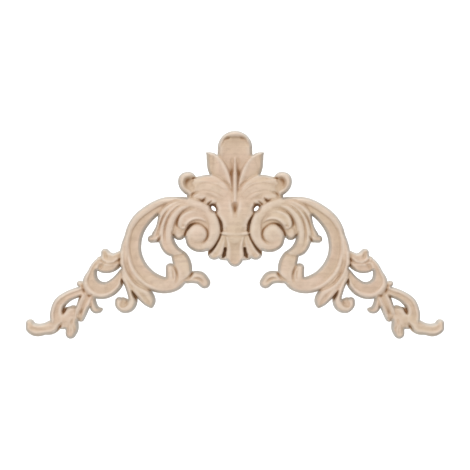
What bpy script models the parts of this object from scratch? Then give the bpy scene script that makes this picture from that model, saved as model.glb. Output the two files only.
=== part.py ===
"""A carved wooden onlay: a palmette between two leafy scrolls with drooping tails.

The onlay stands upright with its flat back in the plane y = 0 and its carving towards -Y. The right half is
built from ribbons, each a loft along a curve, joined into one solid, cut flat behind and mirrored.
"""

import math

import bmesh
import bpy
from mathutils import Vector

# The finished width, in metres. The carving is drawn 200 units wide, so a unit is a millimetre here.
SPAN = 0.200
UNIT = SPAN / 200.0

# Heights above the back, in drawing units: where the sides end and the rounding starts, and how far a ribbon
# reaches behind the back before it is cut.
EDGE = 2.2
BEHIND = 2.0

# How finely a curve is followed, the most that a ribbon turns and runs between two stations, and how near its
# end, in fine steps, a station is left out.
FINE_STEPS = 16
TURN_STEP = math.radians(17.5)
LONG_STEP = 11.0
LAST_GAP = 4
# A ribbon's inner side keeps this share of its distance from the centre that it bends round. Two stations with
# less turn than this between them count as straight.
INNER_SHARE = 0.85
STRAIGHT = math.radians(1.0)
# Angles of the stations that round off a tip, and how fully its height falls with its width.
TIP_ANGLES = [math.radians(angle) for angle in (42.0, 74.0)]
TIP_FALL = 0.6
NO_LIMIT = [math.inf, math.inf]
# Edges sharper than this stay crisp.
CRISP = math.radians(35.0)

# Cross sections from a ribbon's right edge to its left: place across (-1 to 1), share of the rise above EDGE.
ROUND = [(-1.0, 0.0), (-0.66, 0.7), (0.0, 1.0), (0.66, 0.7), (1.0, 0.0)]
BLUNT = [(-1.0, 0.0), (-0.5, 0.9), (0.5, 0.9), (1.0, 0.0)]
SCOOP = [(-1.0, 0.0), (-0.72, 1.0), (0.0, 0.6), (0.72, 1.0), (1.0, 0.0)]
FOLD = [(-1.0, 0.0), (-0.6, 0.62), (0.7, 1.0), (1.0, 0.5)]
RIM_RIGHT = [(-1.0, 0.0), (-0.8, 0.78), (-0.48, 1.0), (-0.1, 0.64), (0.7, 0.66), (1.0, 0.0)]
RIM_LEFT = [(-across, share) for across, share in reversed(RIM_RIGHT)]

AXIS = "axis"

WOOD = (0.73, 0.55, 0.40, 1.0)
WOOD_ROUGHNESS = 0.6

# The pierced eyelet between the palmette and the volute.
EYELET = (10.1, 12.9)
EYELET_LONG = 3.4
EYELET_WIDE = 1.9
EYELET_TILT = math.radians(45.0)
EYELET_SIDES = 12
EYELET_DEEP = 30.0

# The ball in the middle of the volute.
EYE = (18.2, 0.5)
EYE_RADIUS = 5.2
EYE_LOW = 5.2
EYE_HIGH = 9.9
EYE_SEGMENTS = 24
EYE_RINGS = 10

# What is cut away behind the back.
BLOCK_DEEP = 10.0 * UNIT
BLOCK_WIDE = 1.5 * SPAN


def clear_scene():
    for thing in list(bpy.data.objects):
        bpy.data.objects.remove(thing, do_unlink=True)


def new_collection(name):
    group = bpy.data.collections.new(name)
    bpy.context.scene.collection.children.link(group)
    return group


def wood():
    material = bpy.data.materials.new("wood")
    material.use_nodes = True
    shader = material.node_tree.nodes["Principled BSDF"]
    shader.inputs["Base Color"].default_value = WOOD
    shader.inputs["Roughness"].default_value = WOOD_ROUGHNESS
    shader.inputs["Metallic"].default_value = 0.0
    return material


def fine_curve(points):
    """A smooth curve through the points, each of them x, z, half width and height, in fine steps."""
    knots = [Vector(point) for point in points]
    knots = [2 * knots[0] - knots[1], *knots, 2 * knots[-1] - knots[-2]]
    steps = []
    for a, b, c, d in zip(knots, knots[1:], knots[2:], knots[3:]):
        for i in range(FINE_STEPS):
            t = i / FINE_STEPS
            bend = (2 * a - 5 * b + 4 * c - d) * t**2 + (3 * b - a - 3 * c + d) * t**3
            steps.append(0.5 * (2 * b + (c - a) * t + bend))
    steps.append(knots[-2])
    return steps


def stations(points):
    """The steps of the curve that a loft needs, each with its direction."""
    steps = fine_curve(points)
    last = len(steps) - 1
    ways = [(steps[min(i + 1, last)] - steps[max(i - 1, 0)]).xy.normalized() for i in range(last + 1)]
    chosen = [0]
    turned = run = 0.0
    for i in range(1, last):
        turned += abs(ways[i - 1].angle_signed(ways[i]))
        run += (steps[i] - steps[i - 1]).xy.length
        if turned >= TURN_STEP or run >= LONG_STEP:
            chosen.append(i)
            turned = run = 0.0
    if len(chosen) > 1 and last - chosen[-1] < LAST_GAP:
        chosen.pop()
    chosen.append(last)
    return [(steps[i], ways[i]) for i in chosen]


def reaches(line):
    """How far each station may reach to its right and to its left without crossing its neighbours."""
    limits = [list(NO_LIMIT) for _ in line]
    for i in range(len(line) - 1):
        (start, way), (end, next_way) = line[i], line[i + 1]
        turn = -way.angle_signed(next_way)
        if abs(turn) < STRAIGHT:
            continue
        limit = INNER_SHARE * (end - start).xy.length / abs(turn)
        side = 1 if turn > 0 else 0
        limits[i][side] = min(limits[i][side], limit)
        limits[i + 1][side] = min(limits[i + 1][side], limit)
    return limits


def tip(end, way):
    """Stations beyond an end that round it off."""
    centre_x, centre_z, half, height = end
    rings = []
    for angle in TIP_ANGLES:
        centre = Vector((centre_x, centre_z)) + way * half * math.sin(angle)
        share = math.cos(angle)
        rise = EDGE + (height - EDGE) * share**TIP_FALL
        rings.append((Vector((*centre, half * share, rise)), way))
    return rings


def ribbon(group, name, section, points, tips=(False, True), pair=True):
    """A closed loft along the points, and its mirror image unless it crosses the axis.

    The tips say whether its start and its end are rounded off.
    """
    line = stations(points)
    limits = reaches(line)
    if tips[0]:
        first, way = line[0]
        rounded = [(place, -back) for place, back in tip(first, -way)]
        line = rounded[::-1] + line
        limits = [NO_LIMIT] * len(rounded) + limits
    if tips[1]:
        rounded = tip(*line[-1])
        line = line + rounded
        limits = limits + [NO_LIMIT] * len(rounded)
    mesh = bmesh.new()
    rings = []
    for (place, way), (right, left) in zip(line, limits):
        x, z, half, height = place
        side = Vector((-way.y, way.x))
        ring = []
        for across, share in section:
            out = across * half
            out = min(out, left) if out > 0 else max(out, -right)
            rise = EDGE + (height - EDGE) * share
            ring.append((x + side.x * out, -rise, z + side.y * out))
        ring.append((ring[-1][0], BEHIND, ring[-1][2]))
        ring.append((ring[0][0], BEHIND, ring[0][2]))
        rings.append([mesh.verts.new(Vector(corner) * UNIT) for corner in ring])
    count = len(rings[0])
    for ring, following in zip(rings, rings[1:]):
        for i in range(count):
            j = (i + 1) % count
            mesh.faces.new((ring[i], ring[j], following[j], following[i]))
    mesh.faces.new(rings[0])
    mesh.faces.new(rings[-1][::-1])
    bmesh.ops.recalc_face_normals(mesh, faces=mesh.faces)
    made = finish(name, mesh, group)
    if pair:
        mirrored(made)
    return made


def mirrored(made):
    step = made.modifiers.new("mirror", "MIRROR")
    step.mirror_object = bpy.data.objects[AXIS]
    step.use_mirror_merge = False


def finish(name, mesh, group):
    data = bpy.data.meshes.new(name)
    mesh.to_mesh(data)
    mesh.free()
    data.shade_smooth()
    data.set_sharp_from_angle(angle=CRISP)
    made = bpy.data.objects.new(name, data)
    group.objects.link(made)
    return made


def eye(group):
    """A ball squashed to its height, its widest place at EYE_LOW."""
    mesh = bmesh.new()
    bmesh.ops.create_uvsphere(mesh, u_segments=EYE_SEGMENTS, v_segments=EYE_RINGS, radius=EYE_RADIUS * UNIT)
    made = finish("eye", mesh, group)
    made.rotation_euler = (math.radians(90.0), 0.0, 0.0)
    made.scale = (1.0, 1.0, (EYE_HIGH - EYE_LOW) / EYE_RADIUS)
    made.location = Vector((EYE[0], -EYE_LOW, EYE[1])) * UNIT
    mirrored(made)


def palmette(group):
    """The leaf in the middle. The forms that cross the axis are their own mirror image."""
    ribbon(group, "top_lobe", SCOOP, [
        (0, 14, 5, 5.6), (0, 24, 5, 5.8), (0, 32, 6.8, 6.3), (0, 38, 8.6, 6.8), (0, 41, 8.2, 7.2),
    ], pair=False)
    ribbon(group, "top_roll", BLUNT, [
        (6.9, 44.2, 1.0, 7.6), (4.9, 46.8, 1.7, 8.9), (0, 48.2, 1.9, 9.6), (-4.9, 46.8, 1.7, 8.9),
        (-6.9, 44.2, 1.0, 7.6),
    ], tips=(True, True), pair=False)
    ribbon(group, "rib", BLUNT, [
        (0, 12, 1.0, 8.0), (0, 20, 0.95, 7.8), (0, 32, 0.7, 7.2),
    ], pair=False)
    ribbon(group, "upper_lobe", FOLD, [
        (2.2, 20, 1.0, 7.2), (4.7, 25.8, 3.0, 7.6), (8.1, 31.2, 4.6, 7.6), (10.5, 36.0, 3.4, 7.3),
        (12.3, 38.4, 1.5, 6.8), (13.6, 39.3, 0.3, 6.2),
    ])
    ribbon(group, "wide_lobe", ROUND, [
        (3.4, 15, 2.6, 7.0), (7.2, 21.2, 4.4, 8.1), (12, 23.9, 5.0, 8.0), (17, 23.3, 4.9, 7.6),
        (20.5, 23.2, 4.4, 6.6),
    ])
    ribbon(group, "ear", BLUNT, [
        (20.1, 27.3, 1.5, 8.2), (21.4, 28.0, 1.9, 9.0), (22.9, 28.3, 2.0, 9.2), (24.7, 27.3, 2.1, 9.2),
        (25.2, 25.2, 2.0, 9.0), (24.6, 23.2, 1.9, 8.6), (23.1, 21.4, 1.7, 8.0), (21.4, 20.0, 1.2, 7.4),
    ], tips=(True, True))
    ribbon(group, "low_lobe", BLUNT, [
        (9.5, 17.4, 2.4, 6.4), (16, 18.1, 2.3, 7.0), (20, 18.2, 1.7, 6.6), (22, 18.5, 1.0, 6.0),
    ])
    ribbon(group, "root_lobe", BLUNT, [
        (9, 16.8, 1.8, 7.0), (13, 15.7, 1.4, 6.4), (14.6, 15, 1.0, 6.0),
    ])
    ribbon(group, "root_bed", BLUNT, [
        (7.5, 14.4, 3.8, 3.4), (17, 16, 2.6, 3.0),
    ], tips=(False, False))
    ribbon(group, "throat", ROUND, [
        (0, 18.5, 8.8, 7.6), (0, 12, 8.7, 8.4), (0, 8, 7.2, 8.8), (0, 4.5, 5.9, 8.6),
        (0, 1.6, 6.0, 8.0),
    ], pair=False)
    ribbon(group, "neck_bed", BLUNT, [
        (9.2, 12.4, 2.4, 3.2), (6.8, 5, 1.8, 3.0), (7.6, -2, 1.8, 3.0),
    ], tips=(False, False))
    ribbon(group, "collar", BLUNT, [
        (-5.2, 0.5, 1.0, 8.3), (0, 0.4, 1.0, 9.2), (5.2, 0.5, 1.0, 8.3),
    ], tips=(True, True), pair=False)
    ribbon(group, "tongue", ROUND, [
        (0, 0.5, 5.4, 7.8), (0, -5, 4.0, 7.8), (0, -9.5, 4.2, 7.6), (0, -11.5, 3.6, 7.2),
    ], pair=False)
    ribbon(group, "foot_lobe", ROUND, [
        (5.2, 0.4, 1.5, 7.4), (6.9, -3.6, 2.0, 7.4), (8.7, -7, 2.9, 7.2), (9.7, -8.6, 3.4, 6.8),
    ])
    ribbon(group, "foot_bed", BLUNT, [
        (-7, -6.8, 3.2, 1.9), (7, -6.8, 3.2, 1.9),
    ], tips=(False, False), pair=False)


def scroll(group):
    """The arm, from its foot round the outside to the top, and the volute that it ends in."""
    ribbon(group, "arm", RIM_RIGHT, [
        (24.5, -21.3, 1.8, 5.6), (29, -23.4, 3.4, 6.0), (35, -23.7, 4.1, 6.4), (41.5, -20.9, 4.5, 6.5),
        (46.3, -15.8, 4.6, 6.6), (48.6, -9.5, 4.15, 6.6), (48.9, -3.5, 4.2, 6.6), (47.7, 2.2, 4.3, 6.7),
        (44.7, 7.2, 4.2, 6.9), (40, 11.5, 3.7, 7.1), (34.5, 14.6, 3.3, 7.3), (29, 15.9, 2.5, 7.5),
        (24, 15.6, 2.5, 7.6), (19.5, 14.5, 1.9, 6.2),
    ], tips=(False, False))
    ribbon(group, "volute", ROUND, [
        (28.5, 15.9, 2.0, 6.2), (22, 15.3, 2.7, 8.0), (17.5, 13.8, 2.7, 8.2), (13.3, 11.2, 2.8, 8.4),
        (10.6, 7.6, 2.9, 8.5), (9.8, 3.5, 2.9, 8.5), (10.4, -0.6, 2.8, 8.5), (12.6, -4, 2.9, 8.5),
        (16.6, -5.3, 2.8, 8.6), (20, -3.9, 2.7, 8.8), (21.1, -1.2, 2.6, 9.0),
    ])
    eye(group)
    ribbon(group, "scroll_bed", BLUNT, [
        (10.5, 2.5, 4.4, 5.8), (20, 4, 5.8, 5.8), (30, 5.5, 4.2, 5.2),
    ], tips=(False, False))
    ribbon(group, "hook_bed", BLUNT, [
        (19, 11, 2.0, 6.2), (24, 10.8, 2.6, 6.2), (28, 7.6, 2.6, 5.6),
    ], tips=(False, False))
    ribbon(group, "hook", ROUND, [
        (12.2, 6.4, 1.2, 7.2), (14.3, 8.6, 2.0, 8.0), (17.5, 9.9, 2.5, 8.3), (20.8, 9.5, 2.7, 8.4),
        (23.6, 7.9, 2.8, 8.4), (24.9, 5.6, 2.2, 8.1), (24.9, 4.6, 1.6, 7.6),
    ])
    ribbon(group, "drop", BLUNT, [
        (27.7, 5.6, 1.6, 6.2), (27, 2.8, 2.4, 6.4), (26.6, 0.4, 2.75, 6.2),
    ])


def acanthus(group):
    """The leaf that breaks from the arm, its lobes running down into the stem and the leaves at its foot."""
    ribbon(group, "leaf_outer", BLUNT, [
        (24.5, 16.3, 0.8, 7.2), (28.5, 15.1, 1.4, 8.2), (32.2, 12.8, 1.8, 8.1), (34.9, 9.6, 1.6, 7.8),
        (36.2, 6.2, 1.05, 7.4), (37, 3.2, 1.2, 7.0), (38.2, 0.2, 1.7, 6.6),
    ])
    ribbon(group, "leaf_tip", BLUNT, [
        (36.6, -2, 1.6, 6.2), (39.9, -1.9, 1.85, 5.8),
    ])
    ribbon(group, "leaf_middle", BLUNT, [
        (23.5, 15.4, 0.8, 7.2), (27.5, 13.9, 1.1, 8.4), (31, 11.1, 1.2, 8.2), (33.3, 7.6, 1.2, 7.9),
        (34.5, 3.8, 1.3, 7.6), (34.9, 0, 1.5, 7.3), (34.2, -4, 1.9, 7.0), (32, -7.3, 2.0, 6.8),
        (29, -9, 1.6, 6.4),
    ])
    ribbon(group, "leaf_bed", BLUNT, [
        (29, 13, 2.0, 7.0), (33.3, 8.5, 2.4, 6.6), (34.9, 2, 2.2, 6.0), (35.6, -1.3, 2.0, 5.0),
    ])
    ribbon(group, "stem", BLUNT, [
        (21, 14.2, 1.0, 7.2), (25.5, 12.8, 1.5, 8.4), (29, 9.3, 1.8, 8.2), (30.9, 5, 2.0, 7.9),
        (31.5, 0.5, 2.2, 7.6), (31.2, -3.5, 2.6, 7.3), (29.2, -6.9, 2.6, 7.1), (26.7, -8.4, 2.0, 6.8),
    ])
    ribbon(group, "bend", ROUND, [
        (28.3, -8.5, 2.6, 6.0), (26.2, -11.2, 4.1, 6.3), (24.9, -14.5, 4.3, 6.6),
        (24.6, -17.8, 3.9, 6.7), (25.9, -20.8, 3.2, 6.6), (28.8, -23.2, 2.9, 6.2),
    ], tips=(True, True))
    ribbon(group, "hook_leaf", BLUNT, [
        (31, -15.5, 2.2, 6.3), (30.3, -18.8, 2.9, 6.7), (30.5, -21.6, 2.8, 6.6), (33, -23.5, 2.2, 6.2),
    ], tips=(True, True))
    ribbon(group, "foot_leaf", BLUNT, [
        (23, -21.1, 2.0, 5.4), (20, -20.1, 2.8, 6.0), (16.8, -20.4, 3.2, 6.0), (14.4, -22.9, 2.8, 5.4),
    ])


def tail(group):
    """The leaves below and beyond the arm, down to the curled end."""
    ribbon(group, "side_leaf", ROUND, [
        (51.0, 3, 0.5, 5.0), (52.9, -3, 1.0, 6.8), (53.6, -8, 1.4, 7.0), (53.2, -13.5, 1.6, 7.0),
        (51.3, -18.8, 2.1, 7.0), (48.2, -23.3, 2.8, 6.8), (44.4, -27.2, 3.6, 6.5),
        (41.5, -30.4, 3.4, 6.0), (40.3, -32.8, 1.9, 5.2), (40.1, -34.6, 0.4, 4.4),
    ])
    ribbon(group, "curl", BLUNT, [
        (53.3, -17, 1.0, 6.4), (52, -22, 1.5, 6.4), (50.1, -26.5, 1.8, 6.4), (48.8, -30.6, 2.1, 6.3),
        (49.9, -34, 2.2, 6.2), (52.8, -35.2, 2.1, 6.2), (55.2, -33.4, 2.0, 6.1),
        (55.5, -31.4, 1.9, 5.8),
    ])
    ribbon(group, "curl_bed", BLUNT, [
        (51, -33, 2.2, 4.2), (53.6, -31.6, 2.0, 4.2),
    ], tips=(True, True))
    ribbon(group, "wing_top", BLUNT, [
        (53.6, -8.4, 1.6, 5.6), (55.6, -9.9, 2.2, 6.0), (58.2, -11.1, 2.5, 6.2), (61, -10.4, 2.7, 6.2),
        (62.1, -8.2, 1.8, 5.6),
    ])
    ribbon(group, "wing_low", BLUNT, [
        (53.8, -12.6, 1.0, 5.4), (57.3, -14.9, 1.8, 6.0), (60.9, -15.8, 2.3, 6.2),
        (64.2, -14.9, 2.5, 6.2), (66.3, -12.8, 1.6, 5.8),
    ])
    ribbon(group, "wing_bed", BLUNT, [
        (55, -12, 1.4, 4.4), (60, -13.4, 2.0, 5.0), (64.4, -11.8, 1.8, 5.0),
    ])
    ribbon(group, "cup", RIM_RIGHT, [
        (53.8, -17.5, 1.6, 5.4), (56.6, -22.8, 3.2, 6.0), (60.8, -26, 3.9, 6.4), (65.6, -26, 4.3, 6.5),
        (68.9, -22.6, 3.9, 6.5), (68.3, -18, 2.3, 6.4), (66.9, -14.6, 1.9, 6.2), (65.1, -12.1, 1.4, 5.8),
    ], tips=(True, True))
    ribbon(group, "spur", BLUNT, [
        (72, -24.4, 2.0, 5.2), (74.5, -23.1, 1.2, 4.8),
    ])
    ribbon(group, "ring", RIM_LEFT, [
        (71, -25.6, 2.0, 5.2), (75.6, -27.4, 2.5, 5.6), (79.8, -29.2, 2.6, 5.8),
        (83.6, -32.4, 3.0, 6.0), (85.3, -37, 3.1, 5.9), (85.1, -40.5, 3.2, 5.6), (85.6, -43, 2.4, 4.6),
    ])
    ribbon(group, "ring_bed", BLUNT, [
        (77.4, -36.1, 2.7, 4.8), (79.4, -39.6, 3.9, 5.2), (82, -42.2, 2.6, 4.6),
    ], tips=(True, True))
    ribbon(group, "ring_floor", BLUNT, [
        (79, -36.4, 2.4, 1.6), (83.5, -37.6, 2.4, 1.6),
    ], tips=(False, False))
    ribbon(group, "ring_web", BLUNT, [
        (72, -28, 2.0, 3.8), (75, -34.4, 1.0, 3.6),
    ])
    ribbon(group, "feather", SCOOP, [
        (69.6, -27.5, 2.0, 5.4), (71.2, -31.2, 2.8, 5.8), (72.9, -35, 3.0, 5.8),
        (73.8, -38.2, 2.4, 5.3), (73.6, -39.8, 1.6, 4.6),
    ])
    ribbon(group, "feather_spur", BLUNT, [
        (68.2, -29.6, 1.4, 5.0), (67.8, -33, 1.7, 5.0), (66.9, -35.2, 1.9, 4.8),
        (65.2, -35.8, 1.4, 4.4), (64, -35.4, 0.9, 4.0),
    ])
    ribbon(group, "fan", BLUNT, [
        (78.3, -41, 3.3, 5.0), (77.9, -44.4, 3.1, 5.0), (78.5, -47.3, 2.5, 4.6),
    ])
    ribbon(group, "end", ROUND, [
        (84, -41.2, 2.6, 5.0), (87.6, -43.9, 3.4, 5.2), (91, -44.8, 2.8, 5.2), (94.5, -45.3, 3.0, 5.0),
        (97.2, -44.2, 2.8, 5.0), (98, -42.1, 2.05, 4.6),
    ])


def eyelet(group):
    mesh = bmesh.new()
    bmesh.ops.create_cone(mesh, cap_ends=True, segments=EYELET_SIDES, radius1=0.5, radius2=0.5, depth=1.0)
    cutter = finish("eyelet", mesh, group)
    cutter.rotation_euler = (math.radians(90.0), EYELET_TILT, 0.0)
    cutter.rotation_mode = "XYZ"
    cutter.scale = (EYELET_WIDE * UNIT, EYELET_LONG * UNIT, EYELET_DEEP * UNIT)
    cutter.location = Vector((EYELET[0], 0.0, EYELET[1])) * UNIT
    mirrored(cutter)


def back_block(group):
    """Everything behind the back."""
    mesh = bmesh.new()
    bmesh.ops.create_cube(mesh, size=1.0)
    block = finish("back_block", mesh, group)
    block.scale = (BLOCK_WIDE, BLOCK_DEEP, BLOCK_WIDE)
    block.location = (0.0, BLOCK_DEEP / 2.0, 0.0)


def join(made, operation, group):
    step = made.modifiers.new(operation.lower(), "BOOLEAN")
    step.operation = operation
    step.operand_type = "COLLECTION"
    step.collection = group
    step.solver = "EXACT"


def hide(group):
    for thing in group.objects:
        thing.hide_render = True
        thing.display_type = "WIRE"


def build():
    clear_scene()
    onlay = new_collection("corner_onlay")
    forms = new_collection("forms")
    cutters = new_collection("cutters")
    axis = bpy.data.objects.new(AXIS, None)
    bpy.context.scene.collection.objects.link(axis)
    for area in (palmette, scroll, acanthus, tail):
        area(forms)
    eyelet(cutters)
    back_block(cutters)
    body = forms.objects["arm"]
    forms.objects.unlink(body)
    onlay.objects.link(body)
    body.name = "corner_onlay"
    body.data.materials.append(wood())
    join(body, "UNION", forms)
    join(body, "DIFFERENCE", cutters)
    hide(forms)
    hide(cutters)


build()
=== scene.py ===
"""The look of the carved wooden corner onlay: its fine relief, its wood, and a plain stage to see it on.

The right half of the carving is a height map worked out in drawing units, which are millimetres: x to the
right, z up, height above the back. Forms are raised along curves, and grooves and pockets are cut into
them, as a carver would. The half is then mirrored into one closed mesh.
"""

import math

import bmesh
import bpy
import numpy as np
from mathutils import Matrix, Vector


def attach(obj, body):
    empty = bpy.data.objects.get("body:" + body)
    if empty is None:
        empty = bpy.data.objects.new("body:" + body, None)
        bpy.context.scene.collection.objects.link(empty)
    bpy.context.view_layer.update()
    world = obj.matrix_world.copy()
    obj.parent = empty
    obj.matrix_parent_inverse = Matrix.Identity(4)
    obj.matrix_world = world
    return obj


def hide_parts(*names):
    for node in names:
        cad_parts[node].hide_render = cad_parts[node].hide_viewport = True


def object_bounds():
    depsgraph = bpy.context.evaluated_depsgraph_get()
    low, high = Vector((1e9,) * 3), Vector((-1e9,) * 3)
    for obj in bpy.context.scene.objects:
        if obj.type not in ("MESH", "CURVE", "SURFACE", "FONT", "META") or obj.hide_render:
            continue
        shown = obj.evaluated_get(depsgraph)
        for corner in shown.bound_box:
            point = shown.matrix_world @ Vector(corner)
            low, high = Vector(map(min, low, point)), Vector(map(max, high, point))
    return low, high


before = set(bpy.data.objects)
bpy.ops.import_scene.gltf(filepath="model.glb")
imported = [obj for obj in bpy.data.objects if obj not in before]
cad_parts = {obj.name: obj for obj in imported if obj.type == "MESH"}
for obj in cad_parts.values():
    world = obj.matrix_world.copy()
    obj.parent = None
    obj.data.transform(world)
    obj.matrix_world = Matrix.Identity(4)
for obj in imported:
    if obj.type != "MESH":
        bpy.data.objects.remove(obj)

CAD_LOW, CAD_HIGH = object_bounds()

# A drawing unit in metres: the onlay is drawn 200 units wide.
UNIT = (CAD_HIGH.x - CAD_LOW.x) / 200.0
LOWEST = CAD_LOW.z / UNIT
HIGHEST = CAD_HIGH.z / UNIT
WIDEST = CAD_HIGH.x / UNIT
THICKEST = -CAD_LOW.y / UNIT

# The spacing of the height map, and how finely a curve is followed between two of its points.
STEP = 0.285
CURVE_STEPS = 10
# The least half width of a curve. Places are measured round it out to so many half widths, and some more.
NARROWEST = 0.15
REACH_WIDTHS = 1.7
REACH_MORE = 0.8
# Where the sides end and the rounding over starts, how far in it reaches, and the lowest that a cut may go.
EDGE = 2.2
ROUNDING = 1.7
FLOOR = 1.2
# How much the sanding softens the carving, and how far it stays inside the solid's own box.
SANDING = 0.22
CLEARANCE = 0.02
# NOTHING stands for no wood, and FAR for far from a line. TINY keeps a division from meeting zero.
NOTHING = -9.0
FAR = 9.0
TINY = 1e-9
# The eyelet between palmette and volute. Round it the painted shade of the hollows is kept right up to the
# hole, out to the shade's reach from its middle, and this fades over the next distance.
EYELET = (10.2, 12.8)
EYELET_LONG = 2.9
EYELET_WIDE = 1.5
EYELET_TILT = math.radians(50)
EYELET_SHADE = 1.9
EYELET_FADE = 0.8
# How far about itself a place is compared with, for small and for wide hollows, the depths that count as
# fully hollow, and the share that each kind counts for: these set the painted shade laid into the hollows.
# A place this much higher than what is about it is a full crest, painted paler: partly sanding wear and
# partly a painted highlight.
SMALL_HOLLOW = 1.1
WIDE_HOLLOW = 2.6
SMALL_DEPTH = 1.0
WIDE_DEPTH = 2.4
HOLLOW_SHARE = 0.6
CREST_RISE = 0.32
# The painted shade of the hollows and the paler crests fade out this close to the outline. The greyer rim,
# a painted pale sheen on the rounded sides, is whole up to the first distance, and fades over the second.
MARKED_FROM = 0.8
RIM_WHOLE = 0.4
RIM_FADE = 1.4
# A place this share of a step from the outline is moved onto it, if the distance in from the outline isn't
# nearly level there, which is to say that its squared slope is over this.
SNAP = 0.33
LEAST_STEEP = 0.2

# Finishes. The spacing of the growth rings and of the saw's marks, and the wander of the grain, are in
# metres. Fibres, streaks and pores are so many to the metre.
GROWTH_RING = 0.00115
RING_TILT = 0.10
WANDER = (0.004, 0.0035, 0.004)
FIBRES = 3300.0
STREAKS = 620.0
PORES = 2400.0
SAW_MARK = 0.0013
PINK_WOOD = (0.715, 0.53, 0.40, 1)
STRAW_WOOD = (0.705, 0.55, 0.395, 1)
LATE_WOOD = (0.50, 0.35, 0.24, 1)
PORE_BROWN = (0.36, 0.22, 0.12, 1)
# The next four colours paint light in: a pale grey sheen on the rounded sides, shade in the hollows and in
# the deep cuts, and paler crests, partly sanding wear and partly a painted highlight.
SIDE_PAINTED_SHEEN = (0.57, 0.555, 0.51, 1)
HOLLOW_PAINTED_SHADE = (0.575, 0.435, 0.30, 1)
CUT_PAINTED_SHADE = (0.29, 0.135, 0.045, 1)
CREST_WEAR_AND_HIGHLIGHT = (0.80, 0.68, 0.57, 1)
SAWN_BROWN = (0.50, 0.33, 0.20, 1)


# Cross sections, from -1 at a form's right edge to 1 at its left. Each gives the share of the rise from the
# valley to the crest.

def roll(t):
    """Half round."""
    return np.sqrt(np.clip(1 - t * t, 0, 1))


def flat(t):
    """Flat on top, with rounded edges."""
    return np.clip(1 - t**4, 0, 1) ** 0.7


def dish(t):
    """Hollow in the middle, with a brim along both edges."""
    brim = 0.75
    middle = 0.45
    a = np.abs(t)
    return np.where(a < brim, middle + (1 - middle) * (a / brim) ** 2, 1 - ((a - brim) / (1 - brim)) ** 2)


def fold(t):
    """Rising from the right edge to a crest, and turned down again past it."""
    crest = 0.75
    rising = 0.08 + 0.92 * np.clip((t + 1) / (crest + 1), 0, 1) ** 0.8
    return np.where(t > crest, 1 - 0.8 * ((t - crest) / (1 - crest)) ** 2, rising)


def rim_left(t):
    """A channel that falls gently to a raised rim along the left edge."""
    rim = np.clip(1 - ((t - 0.52) / 0.44) ** 2, 0, 1)
    channel = 0.30 + 0.28 * np.clip((0.2 - t) / 1.1, 0, 1)
    wall = np.clip((1 - np.abs(t)) / 0.12, 0, 1)
    return np.maximum(rim, channel * wall)


def rim_right(t):
    """The same, with its rim along the right edge."""
    return rim_left(-t)


def smooth_curve(points):
    """A smooth line through the points, each of them x, z, half width and height."""
    knots = np.array(points, float)
    knots = np.vstack([2 * knots[0] - knots[1], knots, 2 * knots[-1] - knots[-2]])
    t = np.linspace(0, 1, CURVE_STEPS, endpoint=False)[:, None]
    spans = []
    # each span runs from b to c, and takes its direction there from the points on either side
    for a, b, c, d in zip(knots, knots[1:], knots[2:], knots[3:]):
        bend = (2 * a - 5 * b + 4 * c - d) * t**2 + (3 * b - a - 3 * c + d) * t**3
        spans.append(0.5 * (2 * b + (c - a) * t + bend))
    line = np.vstack([*spans, knots[-2:-1]])
    line[:, 2] = np.maximum(line[:, 2], NARROWEST)
    return line


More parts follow.
